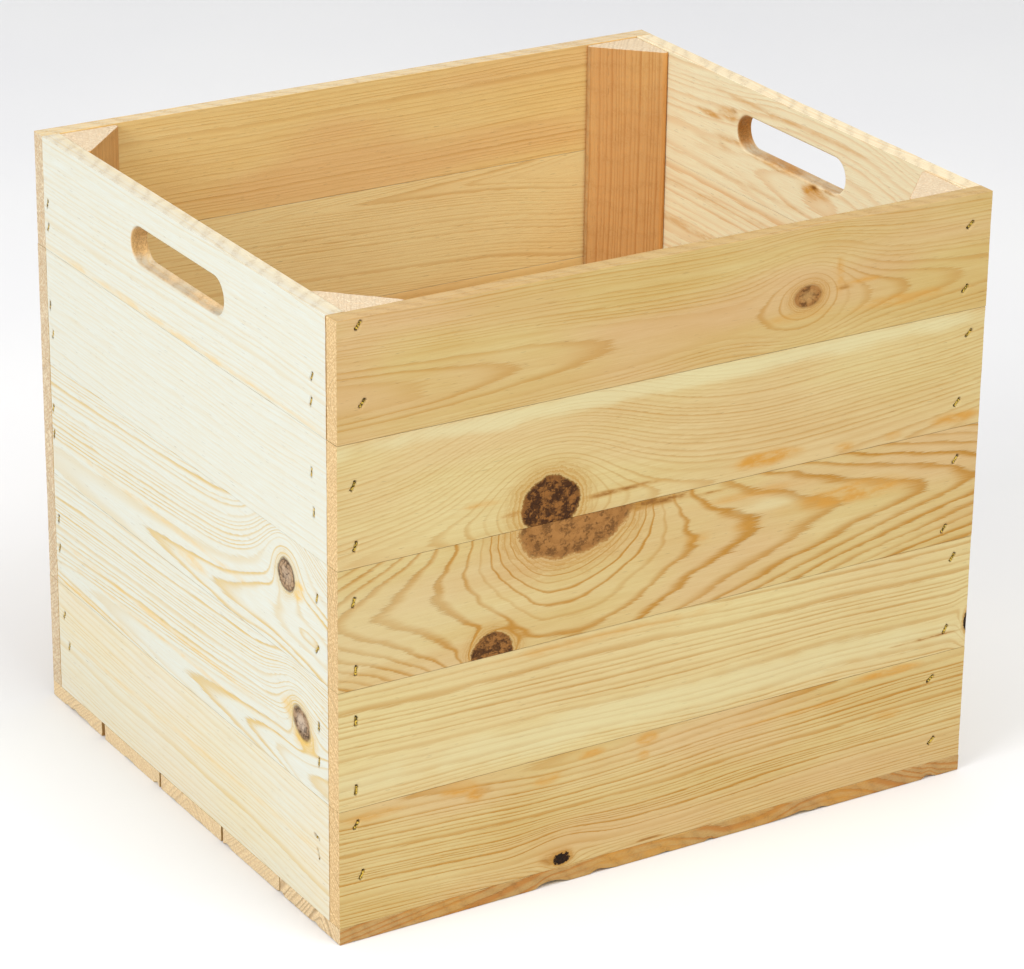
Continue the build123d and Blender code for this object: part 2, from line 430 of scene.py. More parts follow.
def box_grid(lines):
    """Points over a box's surface, quads over its narrow faces, and its two large faces' points."""
    counts = [len(line) for line in lines]
    on_surface = np.zeros(counts, bool)
    for axis in range(3):
        for end in (0, -1):
            on_surface[(slice(None),) * axis + (end,)] = True
    ids = np.full(counts, -1)
    ids[on_surface] = np.arange(on_surface.sum())
    where = np.argwhere(on_surface)
    points = np.stack([lines[axis][where[:, axis]] for axis in range(3)], axis=1)
    faces = [quads(ids[end]) for end in (0, -1)] + [quads(ids[:, end]) for end in (0, -1)]
    return points, faces, ids[:, :, 0], ids[:, :, -1]


def slot_rings(outer, slot, depth, into):
    """Rings of points on a face, from a rim in to the slot's mouth and over its eased edge."""
    nearest = outer[:, 0].clip(slot["u"] - slot["half"], slot["u"] + slot["half"])
    spine = np.column_stack([nearest, np.full(len(outer), slot["v"])])
    outward = outer - spine
    outward /= np.linalg.norm(outward, axis=1)[:, None]
    mouth = spine + outward * (slot["radius"] + SLOT_EASE)
    rings = [(mouth + (outer - mouth) * share, depth) for share in (0.72, 0.48, 0.28, 0.12, 0.0)]
    for angle in np.radians((30, 60, 90)):
        reach = slot["radius"] + SLOT_EASE * (1 - math.sin(angle))
        rings.append((spine + outward * reach, depth + into * SLOT_EASE * (1 - math.cos(angle))))
    return [np.column_stack([flat, np.full(len(flat), w)]) for flat, w in rings]


def cut_slot(points, faces, near, far, lines, slot):
    """Opens a slot through a box's two large faces, and gives all points and faces of the result.

    Each large face gives up the cells round the slot, and rings of quads fill in from there.
    """
    margin = slot["radius"] + SLOT_MARGIN
    spans = []
    for line, middle, half in ((lines[0], slot["u"], slot["half"]), (lines[1], slot["v"], 0)):
        reach = half + margin
        spans.append(np.searchsorted(line, (middle - reach, middle + reach)))
    (left, right), (top, bottom) = spans
    chunks, chains, total = [points], [], len(points)
    for face, depth, into in ((near, 0.0, 1), (far, lines[2][-1], -1)):
        kept = np.ones((len(lines[0]) - 1, len(lines[1]) - 1), bool)
        kept[left:right, top:bottom] = False
        faces.append(quads(face)[kept.ravel()])
        rim = np.concatenate([
            face[left:right, top], face[right, top:bottom],
            face[right:left:-1, bottom], face[left, bottom:top:-1],
        ])
        chain = [rim]
        for ring in slot_rings(points[rim, :2], slot, depth, into):
            chunks.append(ring)
            chain.append(total + np.arange(len(ring)))
            total += len(ring)
        chains.append(chain)
    inner = chunks[-1]
    middle = []
    for w in np.linspace(SLOT_EASE, lines[2][-1] - SLOT_EASE, 6)[1:-1]:
        chunks.append(np.column_stack([inner[:, :2], np.full(len(inner), w)]))
        middle.append(total + np.arange(len(inner)))
        total += len(inner)
    chain = np.stack(chains[0] + middle + chains[1][::-1])
    faces.append(quads(np.concatenate([chain, chain[:, :1]], axis=1)))
    return np.concatenate(chunks), faces


def rounded(points, size, radius):
    """Points of a box's surface, moved in onto rounded edges of a radius that may vary."""
    inner = np.clip(points, radius[:, None], np.array(size) - radius[:, None])
    out = points - inner
    length = np.maximum(np.linalg.norm(out, axis=1), 1e-9)
    return inner + out * (np.minimum(length, radius) / length)[:, None]


def staple_crowns(node):
    """The middle and direction of each staple's crown in a CAD node, in mm.

    The two staples at left_board_5's front end stand so close that CROWN_REACH gives the first
    one two points of the other, which leaves the dents of both off their places.
    """
    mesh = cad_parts[node].data
    points = np.empty(len(mesh.vertices) * 3, np.float32)
    mesh.vertices.foreach_get("co", points)
    points = points.reshape(-1, 3) / MM
    low, high = (np.array(corner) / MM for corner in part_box(node))
    axis, face = CROWN_FACES[node.split("_")[0]]
    crown = points[np.abs(points[:, axis] - (low, high)[face][axis]) < CROWN_DEPTH]
    crowns = []
    while len(crown):
        mine = np.linalg.norm(crown - crown[0], axis=1) < CROWN_REACH
        group = np.unique(crown[mine].round(2), axis=0)
        crown = crown[~mine]
        crowns.append((group.mean(axis=0), np.linalg.svd(group - group.mean(axis=0))[2][0]))
    return crowns


def groove(points, crowns):
    """How deep the wood is pressed in round the staples' crowns: a trough with a hole at each end."""
    total = np.zeros(len(points))
    for middle, direction in crowns:
        offset = (points - middle)[:, :2]
        heading = direction[:2] / np.linalg.norm(direction[:2])
        along = offset @ heading
        across = np.abs(offset @ (-heading[1], heading[0]))
        away = np.hypot(np.maximum(np.abs(along) - CROWN_HALF, 0), across)
        hole = np.hypot(np.abs(along) - CROWN_HALF, across)
        trough = TROUGH * (1 - smooth(0.5, 1.2, away)) + LEG_HOLE * (1 - smooth(0.3, 0.9, hole))
        total = np.maximum(total, trough)
    return total


class Side:
    """A wall or the base, with its own axes: u along the grain, v across it, w into the wood."""

    def __init__(self, name, u, v, w, figures):
        self.name = name
        self.axes = np.array([u, v, w], float)
        self.figures = figures

    def seat(self, node):
        """The corner of a node's box where u, v and w start, and its size along them, in mm."""
        low, high = (np.array(corner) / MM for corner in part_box(node))
        start = np.where(self.axes.sum(axis=0) > 0, low, high)
        return start, np.abs(self.axes @ (high - low))


def make_piece(name, points, faces, material, slot, node):
    """A mesh piece in the frame, in metres, that stands for a CAD node."""
    mesh = bpy.data.meshes.new(name)
    mesh.from_pydata(points.tolist(), [], faces)
    form = bmesh.new()
    form.from_mesh(mesh)
    bmesh.ops.recalc_face_normals(form, faces=form.faces)
    form.to_mesh(mesh)
    form.free()
    mesh.shade_smooth()
    mesh.materials.append(material)
    piece = bpy.data.objects.new(name, mesh)
    bpy.context.scene.collection.objects.link(piece)
    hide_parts(node)
    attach(piece, "root")
    return piece


def add_figure(piece, grain, fig, axes, pressed):
    """Writes what the wood shader reads: the figure, the grooves, which it darkens as painted shade, and
    where a face was cut.
    """
    mesh = piece.data
    normals = np.empty(len(mesh.vertices) * 3, np.float32)
    mesh.vertex_normals.foreach_get("vector", normals)
    facing = np.abs(normals.reshape(-1, 3) @ axes.T)
    u, v, w = grain.T
    layers = {"ring": ring_field(u, v, w, fig), **marks(u, v, w, fig)}
    layers["grain"] = grain + (1000.0 * fig["seed"], 0, 0)
    layers["tone"] = np.full_like(u, fig["tone"])
    layers["contrast"] = np.full_like(u, fig["contrast"])
    layers["end"] = smooth(0.5, 0.95, facing[:, 0])
    layers["sawn"] = smooth(0.5, 0.95, facing[:, 1])
    # the staple grooves' depth, which the shader turns into painted shade
    layers["pressed"] = smooth(0.3, 1.4, pressed)
    for name, values in layers.items():
        kind, field = ("FLOAT", "value") if values.ndim == 1 else ("FLOAT_VECTOR", "vector")
        attribute = mesh.attributes.new(name, kind, "POINT")
        attribute.data.foreach_set(field, values.astype(np.float32).ravel())


def make_board(side, node, fig, crowns, material, slot, ragged, hand_slot):
    """A sawn board: its grid, worn edges, staple grooves, rough ends and slight misfit."""
    start, size = side.seat(node)
    seed = fig["seed"]
    local = [(side.axes @ (middle - start), side.axes @ direction) for middle, direction in crowns]
    local = [c for c in local if -3 < c[0][0] < size[0] + 3 and -3 < c[0][1] < size[1] + 3]
    busy = [[(middle[axis], 4.0, 0.7) for middle, _ in local] for axis in (0, 1)]
    lines = [grid_lines(size[0], busy[0]), grid_lines(size[1], busy[1]), grid_lines(size[2])]
    grain, faces, near, far = box_grid(lines)
    if hand_slot:
        grain, faces = cut_slot(grain, faces, near, far, lines, hand_slot)
    else:
        faces += [quads(near), quads(far)]
    u, v, w = grain.T
    radius = ARRIS * (1 + 0.9 * wander(u, v + w, seed + 20, 25.0)) * (1 - 0.6 * w / size[2])
    shaped = rounded(grain, size, radius)
    rng = np.random.default_rng(seed)
    depth = w / size[2]
    # splinters missing along the outer face's edges
    inset = np.min([u, size[0] - u, v, size[1] - v], axis=0)
    missing = ragged * np.maximum(wander(u, v, seed + 21, 16.0) - 0.1, 0)
    shaped[:, 2] += missing * (1 - smooth(0, 5, inset)) * (1 - depth)
    # faces that aren't quite flat or quite in line with their neighbours
    misfit = rng.uniform(0.0, MISFIT) + 0.05 * (1 + wander(u, v, seed + 22, 80.0))
    shaped[:, 2] += misfit * (1 - depth) - 0.08 * (1 + wander(u, v, seed + 23, 60.0)) * depth
    pressed = groove(grain, local) * (w < 0.01)
    shaped[:, 2] += pressed
    # ends cut a little short and torn by the saw
    cut = rng.uniform(0.0, CUT_SHORT, 2)
    torn = 0.1 * (1 + wander(v, w, seed + 24, 2.5))
    shaped[:, 0] += (cut[0] + torn) * (1 - smooth(0, 3, u))
    shaped[:, 0] -= (cut[1] + torn) * (1 - smooth(0, 3, size[0] - u))
    rest = (start + shaped @ side.axes) * MM
    piece = make_piece("wood_" + node, rest, np.concatenate(faces).tolist(), material, slot, node)
    add_figure(piece, grain, fig, side.axes, pressed)


def post_outline(leg, tip, radius, spacing):
    """A three-cornered post's rounded section, its square corner at the origin, evenly spaced."""
    corners = np.array([(0, 0), (leg, 0), (leg, tip), (tip, leg), (0, leg)], float)
    ahead = np.roll(corners, -1, axis=0) - corners
    ahead /= np.linalg.norm(ahead, axis=1)[:, None]
    behind = np.roll(ahead, 1, axis=0)
    outline = []
    for corner, out, back in zip(corners, ahead, behind):
        # the arc's centre stands the radius off both sides
        turn = math.atan2(back[0] * out[1] - back[1] * out[0], back @ out)
        run = radius * math.tan(turn / 2)
        centre = corner - back * run + np.array([-back[1], back[0]]) * radius
        first = math.atan2(-back[0], back[1])
        for angle in np.linspace(first, first + turn, 5):
            outline.append(centre + radius * np.array([math.cos(angle), math.sin(angle)]))
    outline = np.array(outline + outline[:1])
    reach = np.concatenate([[0], np.cumsum(np.linalg.norm(np.diff(outline, axis=0), axis=1))])
    places = np.linspace(0, reach[-1], round(reach[-1] / spacing) + 1)[:-1]
    return np.stack([np.interp(places, reach, outline[:, axis]) for axis in (0, 1)], axis=1)


def make_post(node, fig, material):
    """A three-cornered post, its grain upright, with capped ends."""
    low, high = (np.array(corner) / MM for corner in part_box(node))
    length = high[2] - low[2]
    inward = -np.sign(low + high)[:2]
    corner = np.where(inward > 0, low[:2], high[:2])
    outline = post_outline(high[0] - low[0], POST_TIP, POST_ARRIS, POST_PITCH)
    middle = outline.mean(axis=0)
    # rings of points up the post, each the outline at a share of its size and a height
    cap = (0.25, 0.5, 0.7, 0.85, 0.95)
    rows = [(share, 0.0) for share in cap] + [(1.0, z) for z in grid_lines(length)]
    rows += [(share, length) for share in reversed(cap)]
    rings = []
    for share, z in rows:
        flat = middle + (outline - middle) * share
        rings.append(np.column_stack([flat, np.full(len(flat), z)]))
    section = np.concatenate(rings + [[(*middle, 0.0), (*middle, length)]])
    ids = np.arange(len(rows) * len(outline)).reshape(len(rows), -1)
    ids = np.concatenate([ids, ids[:, :1]], axis=1)
    faces = quads(ids).tolist()
    for ring, centre in ((ids[0], len(section) - 2), (ids[-1], len(section) - 1)):
        faces += [[centre, first, second] for first, second in zip(ring[:-1].tolist(), ring[1:].tolist())]
    x, y, z = section.T
    torn = 0.15 * (1 + wander(x, y, fig["seed"] + 3, 3.0)) * smooth(length - 3, length, z)
    shaped = np.column_stack([corner + inward * section[:, :2], low[2] + z - torn])
    axes = np.array([(0, 0, 1), (inward[0], 0, 0), (0, inward[1], 0)], float)
    piece = make_piece("wood_" + node, shaped * MM, faces, material, "post_wood", node)
    add_figure(piece, np.column_stack([z, x, y]), fig, axes, 0 * z)


# ---------------------------------------------------------------- materials

def srgb(*levels):
    """A colour from its 0 to 255 screen levels."""
    parts = [level / 255 for level in levels]
    return tuple(p / 12.92 if p < 0.04045 else ((p + 0.055) / 1.055) ** 2.4 for p in parts) + (1.0,)


class Shader:
    """Builds a material's nodes; each method adds one and gives its output socket."""

    def __init__(self, name):
        self.material = bpy.data.materials.new(name)
        self.material.use_nodes = True
        self.nodes = self.material.node_tree.nodes
        self.links = self.material.node_tree.links
        self.surface = self.nodes["Principled BSDF"]

    def node(self, kind, inputs, **settings):
        node = self.nodes.new("ShaderNode" + kind)
        for name, value in settings.items():
            setattr(node, name, value)
        for key, value in inputs.items():
            self.put(node.inputs[key], value)
        return node

    def put(self, socket, value):
        """Links a socket to another, or sets its value."""
        if isinstance(value, bpy.types.NodeSocket):
            self.links.new(value, socket)
        else:
            socket.default_value = value

    def read(self, layer):
        """A float layer of the mesh."""
        return self.node("Attribute", {}, attribute_name=layer).outputs["Fac"]

    def math(self, operation, a, b=0.0, c=0.0):
        return self.node("Math", {0: a, 1: b, 2: c}, operation=operation).outputs[0]

    def ramp(self, value, low, high, start=0.0, end=1.0):
        """Eases from start to end as the value goes from low to high."""
        inputs = {0: value, 1: low, 2: high, 3: start, 4: end}
        return self.node("MapRange", inputs, interpolation_type="SMOOTHSTEP").outputs[0]

    def noise(self, vector, scale, detail=2.0, roughness=0.5, output="Fac"):
        inputs = {"Vector": vector, "Scale": scale, "Detail": detail, "Roughness": roughness}
        return self.node("TexNoise", inputs).outputs[output]

    def stretch(self, vector, *factors):
        inputs = {0: vector, 1: factors}
        return self.node("VectorMath", inputs, operation="MULTIPLY").outputs[0]

    def mix(self, factor, a, b):
        """A colour between a and b."""
        # a Mix node has sockets for each kind of value, and these numbers are the colours' own
        node = self.node("Mix", {}, data_type="RGBA")
        for number, value in ((0, factor), (6, a), (7, b)):
            self.put(node.inputs[number], value)
        return node.outputs[2]

    def finish(self, colour, roughness, height, depth):
        """Sets the surface, with a bump of that depth in metres where the height is 1."""
        bump = self.node("Bump", {"Height": height, "Distance": depth, "Strength": 1.0})
        self.put(self.surface.inputs["Base Color"], colour)
        self.put(self.surface.inputs["Roughness"], roughness)
        self.put(self.surface.inputs["Normal"], bump.outputs[0])
        return self.material


def late_wood(s, fibres, cloud):
    """Where dark late wood shows: each ring darkens to a sharp outer edge, some more than others."""
    feather = s.math("MULTIPLY_ADD", fibres, 0.6, -0.3)
    feather = s.math("MULTIPLY", feather, s.ramp(s.read("knot"), 1.0, 4.0, 0.15, 1.0))
    ring = s.math("ADD", s.read("ring"), feather)
    share = s.math("FRACT", ring)
    number = {"W": s.math("FLOOR", ring)}
    strength = s.node("TexWhiteNoise", number, noise_dimensions="1D").outputs["Value"]
    # thin lines beside a knot, wider ones elsewhere
    onset = s.ramp(s.read("knot"), 1.2, 4.5, 0.66, 0.42)
    late = s.math("MULTIPLY", s.ramp(share, onset, 0.86), s.ramp(share, 0.86, 1.0, 1.0, 0.0))
    late = s.math("MULTIPLY", late, s.math("MULTIPLY_ADD", strength, 0.65, 0.35))
    late = s.math("MULTIPLY", late, s.math("MULTIPLY", s.read("contrast"), 1.25))
    return s.math("MULTIPLY", late, s.ramp(cloud, 0.3, 0.7, 0.7, 1.15))


def ground_colour(s, look, grain, streaks, cloud):
    """The early wood's colour, which drifts over a board and may be fresher towards the inside. The left
    wall's paler outer face is partly bleached wood and partly painted light from the lamp on that side.
    """
    tone = s.math("ADD", s.read("tone"), s.math("MULTIPLY_ADD", cloud, 0.7, -0.35))
    tone = s.math("ADD", tone, s.math("MULTIPLY_ADD", streaks, 0.5, -0.25))
    depth = s.node("SeparateXYZ", {"Vector": grain}).outputs["Z"]
    # outer face against inside: the left wall's paler outer face is partly painted light
    pale = s.mix(s.ramp(depth, 2.0, 9.0), look["pale"], look.get("inner", look["pale"]))
    colour = s.mix(s.ramp(tone, 0.0, 1.0), pale, look["deep"])
    bloom = s.noise(s.stretch(grain, 0.25, 1.0, 1.0), 0.022, 2.0, 0.5)
    return s.mix(s.math("MULTIPLY", s.ramp(bloom, 0.40, 0.66), s.read("tone")), colour, look["blush"])


def stained(s, look, grain, patchy, colour):
    """Adds short dark resin canals along the grain, and the stains, the dark ones fringed with resin."""
    flecks = s.noise(s.stretch(grain, 0.12, 2.2, 2.2), 1.1, 1.0, 0.4)
    colour = s.mix(s.ramp(flecks, 0.70, 0.80, 0.0, 0.45), colour, look["fleck"])
    colour = s.mix(s.math("MULTIPLY", s.read("pale_stain"), 0.8), colour, look["light"])
    stain = s.math("MULTIPLY_ADD", patchy, 0.65, 0.35)
    colour = s.mix(s.math("MULTIPLY", s.read("orange_stain"), stain), colour, look["resin"])
    stain = s.math("MULTIPLY", s.read("dark_stain"), stain)
    colour = s.mix(stain, colour, look["resin"])
    return s.mix(s.math("POWER", stain, 1.6), colour, look["brown"])


def knotted(s, look, grain, grit, colour):
    """Adds the knots, each with a stained collar.

    Also gives where their wood is, and where in it there are cracks and specks.
    """
    dark = s.read("knot_dark")
    pith = s.read("knot_pith")
    open_rim = s.read("knot_rim")
    frayed = s.math("MULTIPLY", s.math("ADD", grit, -0.5), s.ramp(dark, 1.0, 1.8, 0.24, 1.3))
    reach = s.math("ADD", s.read("knot"), frayed)
    core = s.ramp(reach, s.math("MULTIPLY_ADD", pith, -0.3, 0.93), 1.04, 1.0, 0.0)

    # the knot's own rings, darker outwards
    swirl = s.noise(grain, 0.16, 2.0, 0.6)
    ring = s.ramp(s.math("FRACT", s.math("MULTIPLY_ADD", reach, 4.0, swirl)), 0.35, 0.95)
    wood = s.mix(dark, look["knot"], look["knot_deep"])
    wood = s.mix(s.math("MULTIPLY", ring, 0.35), wood, look["brown"])
    shade = s.math("MULTIPLY", s.ramp(reach, 0.5, 0.95, 0.0, 0.35), dark)
    wood = s.mix(shade, wood, look["brown"])

    # specks that cover little of a light knot and most of a dark one
    cover = s.math("MULTIPLY_ADD", dark, 0.2, s.math("MULTIPLY_ADD", swirl, 1.1, -0.55))
    specks = s.ramp(s.math("ADD", grit, cover), 0.58, 0.78)
    specks = s.math("MULTIPLY", specks, s.ramp(dark, 0.2, 1.0, 0.35, 0.9))
    wood = s.mix(specks, wood, look["heart_and_dent_shade"])

    # a pale middle, or all of it rotten
    middle = s.ramp(s.math("MULTIPLY_ADD", swirl, 0.9, reach), 0.6, 1.15, 1.0, 0.0)
    wood = s.mix(s.math("MULTIPLY", middle, pith), wood, look["pith"])
    wood = s.mix(s.ramp(dark, 1.0, 1.8, 0.0, 0.9), wood, look["rot"])

    # cracks across it and along its rim
    cells = s.node("TexVoronoi", {"Vector": grain, "Scale": 0.3}, feature="DISTANCE_TO_EDGE")
    cracks = s.math("ADD", cells.outputs["Distance"], s.math("MULTIPLY_ADD", grit, 0.3, -0.15))
    cracks = s.ramp(cracks, 0.0, 0.10, 1.0, 0.0)
    dry = s.math("MAXIMUM", s.ramp(dark, 0.4, 1.0), s.ramp(open_rim, 0.3, 1.0))
    cracks = s.math("MULTIPLY", s.math("MULTIPLY", cracks, dry), s.ramp(swirl, 0.38, 0.58, 0.35, 1.0))
    off_rim = s.math("ABSOLUTE", s.math("SUBTRACT", reach, 0.92))
    rim = s.math("MULTIPLY", s.ramp(off_rim, 0.03, 0.14, 1.0, 0.0), open_rim)
    cracks = s.math("MAXIMUM", cracks, rim)
    wood = s.mix(s.math("MULTIPLY", cracks, 0.75), wood, look["heart_and_dent_shade"])

    # a collar of crowded dark rings in the wood round it
    collar = s.ramp(reach, 0.98, 1.8, 0.8, 0.0)
    collar = s.math("MULTIPLY", collar, s.math("MULTIPLY_ADD", dark, 0.4, 0.45))
    crowded = s.ramp(s.math("FRACT", s.math("MULTIPLY", reach, 7.0)), 0.1, 0.9, 0.4, 1.2)
    colour = s.mix(s.math("MULTIPLY", collar, crowded), colour, look["late"])
    return s.mix(core, colour, wood), core, cracks, specks


def tooth_marks(s, grain, grit):
    """Slanting, broken marks of the saw's teeth."""
    warp = s.stretch(s.noise(grain, 0.06, 2.0, 0.5, "Color"), 14.0, 14.0, 14.0)
    slanted = s.node("VectorMath", {0: grain, 1: warp}, operation="ADD").outputs[0]
    inputs = {"Vector": slanted, "Scale": 0.045, "Detail": 1.0}
    waves = s.node("TexWave", inputs, bands_direction="DIAGONAL").outputs["Fac"]
    return s.math("MULTIPLY", waves, s.ramp(grit, 0.3, 0.7))


def pine(name, look):
    """Bare sawn pine, drawn from the layers that add_figure writes."""
    s = Shader(name)
    grain = s.node("Attribute", {}, attribute_name="grain").outputs["Vector"]
    fibres = s.noise(s.stretch(grain, 0.035, 1.0, 1.0), 1.3, 4.0, 0.7)
    streaks = s.noise(s.stretch(grain, 0.012, 0.30, 0.30), 1.0, 3.0, 0.55)
    cloud = s.noise(s.stretch(grain, 0.3, 1.0, 1.0), 0.035, 2.0, 0.5)
    grit = s.noise(s.stretch(grain, 0.8, 1.0, 1.0), 0.75, 3.0, 0.75)
    patchy = s.ramp(s.noise(s.stretch(grain, 0.3, 1.0, 1.0), 0.22, 4.0, 0.65), 0.36, 0.62)
    pores = s.ramp(s.noise(grain, 0.8, 4.0, 0.75), 0.38, 0.62)
    teeth = tooth_marks(s, grain, grit)
    late = late_wood(s, fibres, cloud)
    sawn = s.read("sawn")
    end = s.read("end")

    # the early wood, the edges that the saw left rough, and the rings over both
    colour = ground_colour(s, look, grain, streaks, cloud)
    colour = s.mix(s.math("MULTIPLY", sawn, s.ramp(grit, 0.25, 0.7, 1.0, 0.5)), colour, look["edge"])
    colour = s.mix(late, colour, look["late"])
    colour = s.mix(s.ramp(fibres, 0.30, 0.70, 0.22, 0.0), colour, look["late"])
    colour = stained(s, look, grain, patchy, colour)
    colour, core, cracks, specks = knotted(s, look, grain, grit, colour)

    # end grain, rougher and full of pores
    end_colour = s.mix(s.math("MULTIPLY", late, 0.4), look["end"], look["brown"])
    end_colour = s.mix(s.math("MULTIPLY", pores, 0.5), end_colour, look["pores"])
    colour = s.mix(end, colour, end_colour)

    # painted warm light in the hand slots and on the edges, in streaks along the grain, with brown in its
    # pores
    scorch = s.math("MULTIPLY", s.read("burn_stain"), s.ramp(patchy, 0.0, 1.0, 0.55, 1.0))
    colour = s.mix(scorch, colour, look["burn"])
    colour = s.mix(s.math("MULTIPLY", scorch, s.ramp(pores, 0.4, 1.0, 0.0, 0.35)), colour, look["brown"])

    # painted shade in the dents round the staples' crowns, and tooth marks, mostly on the sawn edges
    colour = s.mix(s.math("MULTIPLY", s.read("pressed"), 0.9), colour, look["heart_and_dent_shade"])
    colour = s.mix(s.math("MULTIPLY", sawn, s.ramp(teeth, 0.2, 0.8, 0.06, 0.30)), colour, look["brown"])

    relief = s.math("MULTIPLY_ADD", fibres, 0.55, s.math("MULTIPLY", late, -0.35))
    relief = s.math("ADD", relief, s.math("MULTIPLY", teeth, s.math("MULTIPLY_ADD", sawn, 0.6, 0.04)))
    relief = s.math("ADD", relief, s.math("MULTIPLY", pores, s.math("MULTIPLY", end, 1.2)))
    relief = s.math("SUBTRACT", relief, s.math("MULTIPLY", cracks, s.math("MULTIPLY", core, 1.5)))
    relief = s.math("SUBTRACT", relief, s.math("MULTIPLY", specks, s.math("MULTIPLY", core, 0.6)))
    roughness = s.math("MULTIPLY_ADD", fibres, 0.18, s.math("MULTIPLY_ADD", core, 0.12, 0.58))
    s.surface.inputs["Specular IOR Level"].default_value = 0.22
    return s.finish(colour, roughness, relief, 0.00025)


def lacquered_wire():
    """Gold-lacquered steel, with spots of bright gold and near-black mixed over it as painted glints and
    painted shade.
    """
    s = Shader("gold_wire")
    place = s.node("TexCoord", {}).outputs["Object"]
    spots = s.noise(place, 1100.0, 3.0, 0.6)
    drawn = s.noise(s.stretch(place, 1.0, 1.0, 0.25), 2600.0, 2.0, 0.5)
    # painted glints and painted shade: bright gold and near-black in noise spots
    colour = s.mix(s.ramp(spots, 0.42, 0.58), srgb(226, 190, 78), srgb(46, 34, 12))
    colour = s.mix(s.math("MULTIPLY", drawn, 0.2), colour, srgb(208, 180, 92))
    s.surface.inputs["Metallic"].default_value = 0.85
    return s.finish(colour, s.ramp(spots, 0.3, 0.8, 0.3, 0.55), drawn, 0.00003)


# the colours of the front wall, and what differs in the other woods
WOOD_LOOK = {
    "pale": srgb(222, 206, 150), "deep": srgb(202, 171, 102), "late": srgb(187, 136, 57),
    "light": srgb(224, 217, 170), "blush": srgb(214, 176, 132), "resin": srgb(208, 151, 63),
    "brown": srgb(132, 86, 36), "fleck": srgb(104, 66, 30), "knot": srgb(196, 144, 82),
    "knot_deep": srgb(150, 98, 44), "heart_and_dent_shade": srgb(60, 30, 4), "end": srgb(254, 222, 166),
    "edge": srgb(188, 162, 118), "rot": srgb(22, 14, 6), "pith": srgb(194, 152, 92),
    "pores": srgb(190, 134, 62), "burn": srgb(186, 122, 56),
}
FAIR_LOOK = {
    **WOOD_LOOK, "pale": srgb(242, 238, 206), "deep": srgb(234, 216, 166), "late": srgb(220, 166, 98),
    "blush": srgb(232, 206, 168), "edge": srgb(224, 212, 182), "end": srgb(204, 156, 94),
    "burn": srgb(206, 138, 62),
}
# the rear wall's pine, paler and more golden than the front's: partly its own colour and partly painted
# light for the bounce light down inside the crate
GOLDEN_LOOK = {
    **WOOD_LOOK, "pale": srgb(244, 224, 166), "deep": srgb(240, 208, 138), "late": srgb(208, 156, 78),
    "blush": srgb(234, 192, 134), "edge": srgb(202, 194, 170), "end": srgb(236, 220, 188),
}
# the left wall's pine: its pale, grey outer face is partly bleached wood and partly painted light from
# the key lamp, and its inside is plain pine
BLEACHED_LOOK = {
    **WOOD_LOOK, "pale": srgb(211, 214, 204), "inner": srgb(238, 222, 178), "deep": srgb(218, 206, 170),
    "late": srgb(206, 174, 100), "light": srgb(218, 218, 202), "blush": srgb(218, 210, 192),
    "resin": srgb(222, 184, 102), "brown": srgb(150, 108, 62), "knot": srgb(190, 162, 128),
    "knot_deep": srgb(150, 122, 94), "heart_and_dent_shade": srgb(52, 34, 20), "edge": srgb(208, 203, 186),
    "end": srgb(228, 180, 112), "pith": srgb(206, 186, 164), "burn": srgb(250, 206, 140),
}
# the posts' pine, oranger than the walls': partly the wood's own colour and partly painted warm shade and
# bounce light of the crate's inside corners
POST_LOOK = {
    **WOOD_LOOK, "pale": srgb(238, 192, 118), "deep": srgb(229, 168, 93), "late": srgb(178, 114, 50),
    "blush": srgb(220, 156, 90), "end": srgb(240, 220, 188), "pores": srgb(220, 184, 138),
}
SLAT_LOOK = {
    **WOOD_LOOK, "late": srgb(188, 130, 64), "edge": srgb(188, 148, 88), "end": srgb(254, 230, 186),
    "pores": srgb(214, 168, 106),
}

WALL_WOODS = {
    "left": pine("pine_bleached", BLEACHED_LOOK),
    "right": pine("pine_fair", FAIR_LOOK),
    "rear": pine("pine_golden", GOLDEN_LOOK),
    "front": pine("pine_tan", WOOD_LOOK),
}
slat_wood = pine("pine_slat", SLAT_LOOK)
post_wood = pine("pine_post", POST_LOOK)
wire = lacquered_wire()


# ---------------------------------------------------------------- the crate

SIDES = [
    Side("front", (1, 0, 0), (0, 0, -1), (0, 1, 0), FRONT_FIGURES),
    Side("rear", (-1, 0, 0), (0, 0, -1), (0, -1, 0), REAR_FIGURES),
    Side("left", (0, -1, 0), (0, 0, -1), (1, 0, 0), LEFT_FIGURES),
    Side("right", (0, 1, 0), (0, 0, -1), (-1, 0, 0), RIGHT_FIGURES),
    Side("base", (1, 0, 0), (0, 1, 0), (0, 0, 1), SLAT_FIGURES),
]

crowns = {side.name: staple_crowns(side.name + "_staples") for side in SIDES}
for side in SIDES:
    is_base = side.name == "base"
    for number, fig in enumerate(side.figures, 1):
        node = f"base_slat_{number}" if is_base else f"{side.name}_board_{number}"
        hand_slot = None
        if number == 1 and side.name in ("left", "right"):
            run = side.seat(node)[1][0]
            straight = SLOT_LENGTH / 2 - SLOT_HEIGHT / 2
            hand_slot = {"u": run / 2, "v": SLOT_DROP, "half": straight, "radius": SLOT_HEIGHT / 2}
        wood = WALL_WOODS.get(side.name, slat_wood)
        slot = "slat_wood" if is_base else "wall_wood"
        ragged = SLAT_CHIPS if is_base else BOARD_CHIPS
        make_board(side, node, fig, crowns[side.name], wood, slot, ragged, hand_slot)

for name, fig in zip(("front_left", "front_right", "rear_left", "rear_right"), POST_FIGURES):
    make_post("corner_post_" + name, fig, post_wood)

